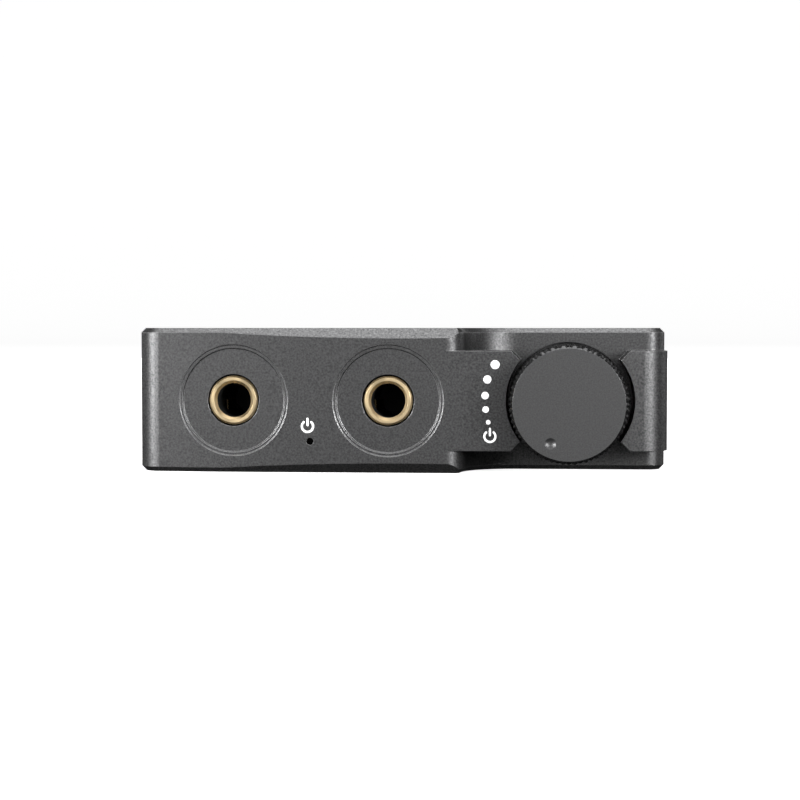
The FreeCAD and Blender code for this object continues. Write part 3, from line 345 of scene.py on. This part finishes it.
def pouch_foil(dark, light):
    """Laminated foil of the battery pouch: satin, with long shallow creases."""
    material, tree, shader = new_material()
    creases = noise(tree, scale=120, detail=3.0, stretch=(1, 0.3, 1))
    grain = noise(tree, scale=3000)
    set_inputs(
        tree,
        shader,
        Base_Color=blend_colours(tree, remap(tree, creases, low=0, high=1), dark, light),
        Metallic=0.85,
        Roughness=remap(tree, grain, low=0.28, high=0.4),
        Normal=bump(tree, creases, depth=0.25 * MM, strength=0.5),
    )
    return material


def foam(dark, light):
    """Open foam with small round cells."""
    material, tree, shader = new_material()
    cells = add_node(tree, "ShaderNodeTexVoronoi", Scale=1800).outputs["Distance"]
    set_inputs(
        tree,
        shader,
        Base_Color=blend_colours(tree, cells, dark, light),
        Roughness=remap(tree, cells, low=0.8, high=0.95),
        Normal=bump(tree, cells, depth=0.08 * MM, strength=0.8),
    )
    return material


def glowing_print_ink(dark, light):
    """White screen print: nearly even, with the metal's grain faintly through it; it also glows a little, a
    painted light that keeps it bright.
    """
    material, tree, shader = new_material()
    grain = noise(tree, scale=5200)
    set_inputs(
        tree,
        shader,
        Base_Color=blend_colours(tree, remap(tree, grain, low=0, high=1), dark, light),
        # Painted light: a faint white glow, though the print is no lamp.
        Emission_Color=(1, 1, 1, 1),
        Emission_Strength=0.45,
        Roughness=remap(tree, grain, low=0.45, high=0.6),
        Normal=bump(tree, grain, depth=0.004 * MM, strength=0.4),
    )
    return material


def painted(colour, glow):
    """Matt painted surface with the faintest mottling."""
    material, tree, shader = new_material()
    mottle = noise(tree, scale=40)
    set_inputs(
        tree,
        shader,
        Base_Color=blend_colours(tree, remap(tree, mottle, low=0, high=1), scaled(colour, 0.985), colour),
        Roughness=0.9,
        Emission_Color=(1, 1, 1, 1),
        Emission_Strength=glow,
    )
    return material


def metals():
    return {
        "anodised_body": anodised(
            dark=(0.06, 0.06, 0.061),
            light=(0.17, 0.17, 0.172),
            grain=5000,
            roughness=0.4,
            depth=0.015 * MM,
            edge=0.1 * MM,
            wear_and_highlight=2.0,
        ),
        "anodised_knob": anodised(
            dark=(0.1, 0.1, 0.101),
            light=(0.15, 0.15, 0.152),
            grain=7000,
            roughness=0.42,
            depth=0.006 * MM,
            edge=0.05 * MM,
            wear_and_highlight=1.0,
        ),
        "turned_side": anodised(
            dark=(0.055, 0.055, 0.056),
            light=(0.085, 0.085, 0.086),
            grain=7000,
            roughness=0.28,
            depth=0.004 * MM,
            edge=0.05 * MM,
            wear_and_highlight=1.6,
        ),
        "gold_plate": plated((1.0, 0.79, 0.48), roughness=0.4, edge=0.035 * MM, stretch=(1, 6, 1)),
        "spring_metal": plated((0.95, 0.72, 0.4), roughness=0.22),
        "steel": plated((0.52, 0.52, 0.53), roughness=0.3, stretch=(0.2, 4, 4)),
        "black_steel": plated((0.035, 0.035, 0.038), roughness=0.35, metallic=0.7),
        "tin_plate": plated((0.72, 0.72, 0.72), roughness=0.28),
        "can_silver": plated((0.78, 0.78, 0.79), roughness=0.24, stretch=(1, 1, 8)),
    }


def plastics():
    return {
        "black_plastic": moulded((0.005, 0.005, 0.005), roughness=0.62),
        "white_plastic": moulded((0.72, 0.71, 0.66), roughness=0.45),
        "chip_black": moulded((0.018, 0.018, 0.018), roughness=0.6, grain=4000),
        "ceramic_tan": moulded((0.38, 0.28, 0.19), roughness=0.4, grain=3500),
        "ferrite": moulded((0.05, 0.048, 0.047), roughness=0.7, grain=3200, depth=0.03 * MM),
        "track_carbon": moulded((0.02, 0.017, 0.015), roughness=0.55, grain=3000),
        "fish_paper": moulded((0.4, 0.47, 0.36), roughness=0.7, grain=1800),
        "clear_plastic": clear_moulding(dark=(0.002, 0.002, 0.002), light=(0.005, 0.005, 0.006)),
    }


def other_materials():
    return {
        "board_green": circuit_board(
            mask=(0.004, 0.05, 0.018),
            mask_light=(0.006, 0.065, 0.024),
            track=(0.02, 0.14, 0.05),
            shade=(0.003, 0.04, 0.014),
        ),
        "pouch_foil": pouch_foil(dark=(0.5, 0.51, 0.53), light=(0.66, 0.67, 0.69)),
        "foam": foam(dark=(0.55, 0.55, 0.52), light=(0.85, 0.85, 0.82)),
        "glowing_print_ink": glowing_print_ink(dark=(0.86, 0.86, 0.86), light=(0.95, 0.95, 0.95)),
    }


def make_materials():
    """One material for each of the record's slots, one for the prints and one for the knob's side."""
    made = {**metals(), **plastics(), **other_materials()}
    for name, material in made.items():
        material.name = name
    return made


def dress_frame(materials):
    """Give every CAD node the material of its own slot, and paint shade on the jack rings' bore walls."""
    for subpart in frame["record"]["subparts"]:
        mesh = frame["nodes"][subpart["node"]].data
        mesh.materials.clear()
        mesh.materials.append(materials[subpart["material_slot"]])
    for name in ("headphone_jack_ring", "line_in_jack_ring"):
        # Painted shade: the jack rings' bore walls are made black.
        paint_bore_shade(name, materials["black_plastic"])


def paint_bore_shade(name, material):
    """Painted shade: the wall of a jack ring's bore is given the black material, so only the lip shows its
    plating.
    """
    low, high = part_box(name)
    axis = (low + high) / 2
    mesh = frame["nodes"][name].data
    mesh.materials.append(material)
    for face in mesh.polygons:
        offset = face.center - axis
        if math.hypot(offset.x, offset.z) < JACK_BORE and abs(face.normal.y) < BORE_LEAN:
            face.material_index = 1


def dress(piece, material, body):
    piece.data.materials.append(material)
    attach(piece, body)


# Knob


def triangle_wave(value):
    """0 at whole numbers, 1 half way between them."""
    return 1 - abs(2 * (value % 1) - 1)


def knurl_radius(turn, along):
    """Radius of the knurled side: two crossing sets of V grooves, cut off by a chamfer at each end."""
    pitch = 2 * math.pi * KNOB_RADIUS / KNURL_COUNT
    across = turn * KNURL_COUNT
    rise = (along - KNOB_CHAMFER) / pitch
    height = min(1, KNURL_FLAT * triangle_wave(across + rise), KNURL_FLAT * triangle_wave(across - rise))
    from_end = min(along, KNOB_LENGTH - along)
    return min(KNOB_RADIUS - KNURL_DEPTH * (1 - height), KNOB_RADIUS - KNOB_CHAMFER + from_end)


def ring_of(bm, radii, y):
    """A closed ring of points round the knob's axis, one for each radius."""
    made = []
    for index, radius in enumerate(radii):
        angle = 2 * math.pi * index / len(radii)
        made.append(bm.verts.new((
            KNOB_AXIS.x + radius * math.cos(angle),
            y,
            KNOB_AXIS.z + radius * math.sin(angle),
        )))
    return made


def knurled_knob():
    """Closed cup: knurled outside, flat blasted face, plain bore behind."""
    count = KNURL_COUNT * KNURL_STEPS
    step = 2 * math.pi * KNOB_RADIUS / count
    rows = round(KNOB_LENGTH / step)
    bm = bmesh.new()
    rings = []
    for row in range(rows + 1):
        along = KNOB_LENGTH * row / rows
        radii = [knurl_radius(index / count, along) for index in range(count)]
        rings.append(ring_of(bm, radii, KNOB_LOW.y + along))
    for first, second in zip(rings, rings[1:]):
        bridge(bm, first, second)
    bm.faces.new(rings[0])
    mouth = ring_of(bm, [KNOB_BORE] * count, KNOB_HIGH.y)
    floor = ring_of(bm, [KNOB_BORE] * count, KNOB_LOW.y + KNOB_FACE)
    bridge(bm, rings[-1], mouth)
    bridge(bm, mouth, floor)
    bm.faces.new(floor)
    return mesh_piece("knurled_knob", bm)


def dimple_cutter():
    """A ball that cuts the pointer dimple into the knob's face."""
    bm = bmesh.new()
    bmesh.ops.create_icosphere(bm, subdivisions=DIMPLE_BALL_SUBDIVISIONS, radius=DIMPLE_BALL)
    height = math.sqrt(DIMPLE_BALL ** 2 - DIMPLE_RADIUS ** 2)
    place = Vector((
        KNOB_AXIS.x + DIMPLE_ORBIT * math.cos(DIMPLE_ANGLE),
        KNOB_LOW.y - height,
        KNOB_AXIS.z + DIMPLE_ORBIT * math.sin(DIMPLE_ANGLE),
    ))
    bmesh.ops.translate(bm, verts=bm.verts, vec=place)
    return mesh_piece("dimple_cutter", bm)


def dress_turned_side(knob, material):
    """The knurl and its chamfers are glossier and darker than the blasted face."""
    knob.data.materials.append(material)
    inside = KNOB_RADIUS - KNURL_DEPTH - KNOB_CHAMFER
    for face in knob.data.polygons:
        offset = face.center - KNOB_AXIS
        if math.hypot(offset.x, offset.z) > inside and face.normal.y > -FLAT_FACE:
            face.material_index = 1


def make_knob(materials):
    knob = knurled_knob()
    cutter = dimple_cutter()
    cut = knob.modifiers.new("dimple", "BOOLEAN")
    cut.operation = "DIFFERENCE"
    cut.solver = "EXACT"
    cut.object = cutter
    applied(knob)
    bpy.data.objects.remove(cutter)
    shade_smooth(knob.data, KNOB_SHARP)
    dress(knob, materials["anodised_knob"], "knob")
    dress_turned_side(knob, materials["turned_side"])
    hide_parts("volume_knob")


# Printed marks: thin raised prints that follow the bowed front face.


def front_surface(x):
    return FRONT + FRONT_BOW - math.sqrt(FRONT_BOW ** 2 - x ** 2)


def printed(name, outlines, materials):
    """Closed outlines of (x, z) points, printed on the front face."""
    bm = bmesh.new()
    for outline in outlines:
        front = [bm.verts.new((x, front_surface(x) - PRINT_LIFT, z)) for x, z in outline]
        back = [bm.verts.new((x, front_surface(x) + PRINT_SUNK, z)) for x, z in outline]
        bm.faces.new(front)
        bm.faces.new(back[::-1])
        bridge(bm, front, back)
    piece = mesh_piece(name, bm)
    dress(piece, materials["glowing_print_ink"], "case")


def arc_points(centre, radius, start, end, count):
    """Points from one angle to another, both included."""
    angles = [start + (end - start) * index / (count - 1) for index in range(count)]
    return [(centre[0] + radius * math.cos(angle), centre[1] + radius * math.sin(angle)) for angle in angles]


def circle_points(centre, radius):
    """Points all round, without the last one that would meet the first."""
    return arc_points(centre, radius, 0, 2 * math.pi, CIRCLE_POINTS + 1)[:-1]


def arc_stroke(centre, radius):
    """A ring with a gap at the top and round ends."""
    half = SYMBOL_STROKE / 2
    first = math.pi / 2 + SYMBOL_GAP
    last = math.pi * 5 / 2 - SYMBOL_GAP
    outer = arc_points(centre, radius + half, first, last, ARC_POINTS)
    inner = arc_points(centre, radius - half, last, first, ARC_POINTS)
    ends = []
    for angle, base in ((last, last), (first, first + math.pi)):
        place = (centre[0] + radius * math.cos(angle), centre[1] + radius * math.sin(angle))
        ends.append(arc_points(place, half, base, base + math.pi, ARC_END_POINTS)[1:-1])
    return outer + ends[0] + inner + ends[1]


def bar(centre_x, low, high):
    """An upright bar with round ends."""
    half = SYMBOL_STROKE / 2
    top = arc_points((centre_x, high - half), half, 0, math.pi, BAR_END_POINTS)
    bottom = arc_points((centre_x, low + half), half, math.pi, 2 * math.pi, BAR_END_POINTS)
    return top + bottom


def mark_place(mark):
    """A mark's middle and radius in metres, from its millimetres off the middle."""
    across, height, radius = mark
    return across * MM, MIDDLE + height * MM, radius * MM


def power_symbol(name, mark, materials):
    """An open ring, with an upright bar that stands out of its gap."""
    x, z, radius = mark_place(mark)
    ring = arc_stroke((x, z), radius - SYMBOL_STROKE / 2)
    printed(name, [ring, bar(x, z, z + SYMBOL_BAR)], materials)


def print_marks(materials):
    """Five dots that grow round the knob from its off mark, and the power light's own mark."""
    for index, mark in enumerate(VOLUME_MARKS, start=1):
        x, z, radius = mark_place(mark)
        printed(f"volume_mark_{index}", [circle_points((x, z), radius)], materials)
    power_symbol("off_mark", OFF_MARK, materials)
    power_symbol("power_light_mark", POWER_LIGHT_MARK, materials)


# Stage, lights and camera


def sweep_profile():
    """Distance and height pairs: the flat floor's edge, its curve, and the backdrop's top."""
    edge = FLOOR_REACH - FLOOR_CURVE
    profile = [(edge, 0.0)]
    for index in range(1, FLOOR_CURVE_STEPS + 1):
        angle = math.pi / 2 * index / FLOOR_CURVE_STEPS
        profile.append((edge + FLOOR_CURVE * math.sin(angle), FLOOR_CURVE - FLOOR_CURVE * math.cos(angle)))
    profile.append((FLOOR_REACH, BACKDROP_TOP))
    return profile


def sweep():
    """Floor that curves up into a backdrop, far enough off to stay plain from any side."""
    bm = bmesh.new()
    rings = []
    for distance, height in sweep_profile():
        ring = []
        for index in range(FLOOR_SEGMENTS):
            turn = 2 * math.pi * index / FLOOR_SEGMENTS
            ring.append(bm.verts.new((distance * math.cos(turn), distance * math.sin(turn), height)))
        rings.append(ring)
    bm.faces.new(rings[0])
    for first, second in zip(rings, rings[1:]):
        bridge(bm, first, second)
    floor = mesh_piece("studio_floor", bm, FLOOR_SMOOTH)
    paint = painted(FLOOR_WHITE, FLOOR_GLOW)
    paint.name = "studio_white"
    floor.data.materials.append(paint)
    floor.visible_diffuse = False
    floor.visible_glossy = False


def aimed(made, place, target):
    """Stand a lamp or camera at a place and turn it to its target."""
    made.location = place
    made.rotation_euler = (Vector(target) - Vector(place)).to_track_quat("-Z", "Y").to_euler()
    bpy.context.scene.collection.objects.link(made)


def softbox(name, place, target, size, power):
    """A rectangular soft light: size is its width and height in metres, power is in watts."""
    data = bpy.data.lights.new(name, "AREA")
    data.shape = "RECTANGLE"
    data.size, data.size_y = size
    data.energy = power
    aimed(bpy.data.objects.new(name, data), place, target)


def around(angle, distance, height):
    """A place seen from the front end, at an angle in degrees to the right of straight ahead."""
    turn = math.radians(angle)
    return (distance * math.sin(turn), FRONT - distance * math.cos(turn), height)


def lights():
    front = (0, FRONT, MIDDLE)
    centre = (0, 0, MIDDLE)
    overhead = (0, FRONT, 0.6)
    softbox("top_box", overhead, front, size=(0.6, 0.5), power=3.4)
    softbox("left_box", around(-53, 0.6, 0.14), front, size=(0.3, 0.24), power=4.5)
    softbox("right_box", around(43, 0.6, 0.15), front, size=(0.26, 0.22), power=3.1)
    softbox("front_fill", around(0, 0.85, 0.36), front, size=(1.0, 0.5), power=1.1)
    softbox("level_fill", around(4, 0.9, 0.06), front, size=(0.6, 0.2), power=0.2)
    for name, place in (
        ("rear_left_box", around(-126, 0.7, 0.17)),
        ("rear_box", around(180, 0.7, 0.16)),
        ("rear_right_box", around(124, 0.7, 0.17)),
    ):
        softbox(name, place, centre, size=(0.5, 0.35), power=1.2)


def make_world():
    world = bpy.data.worlds.new("studio")
    bpy.context.scene.world = world
    world.use_nodes = True
    background = world.node_tree.nodes["Background"]
    background.inputs["Color"].default_value = (1, 1, 1, 1)
    background.inputs["Strength"].default_value = WORLD_GLOW


def camera():
    """Nearly head on, a little right of the middle, level with the top face."""
    data = bpy.data.cameras.new("camera")
    data.lens = LENS
    data.sensor_width = SENSOR
    data.clip_start = NEAREST
    data.clip_end = FARTHEST
    made = bpy.data.objects.new("camera", data)
    aimed(made, EYE, LOOKS_AT)
    bpy.context.scene.camera = made


bpy.context.scene.view_settings.view_transform = "Standard"
camera()
lights()
make_world()
sweep()
made_materials = make_materials()
dress_frame(made_materials)
make_knob(made_materials)
print_marks(made_materials)
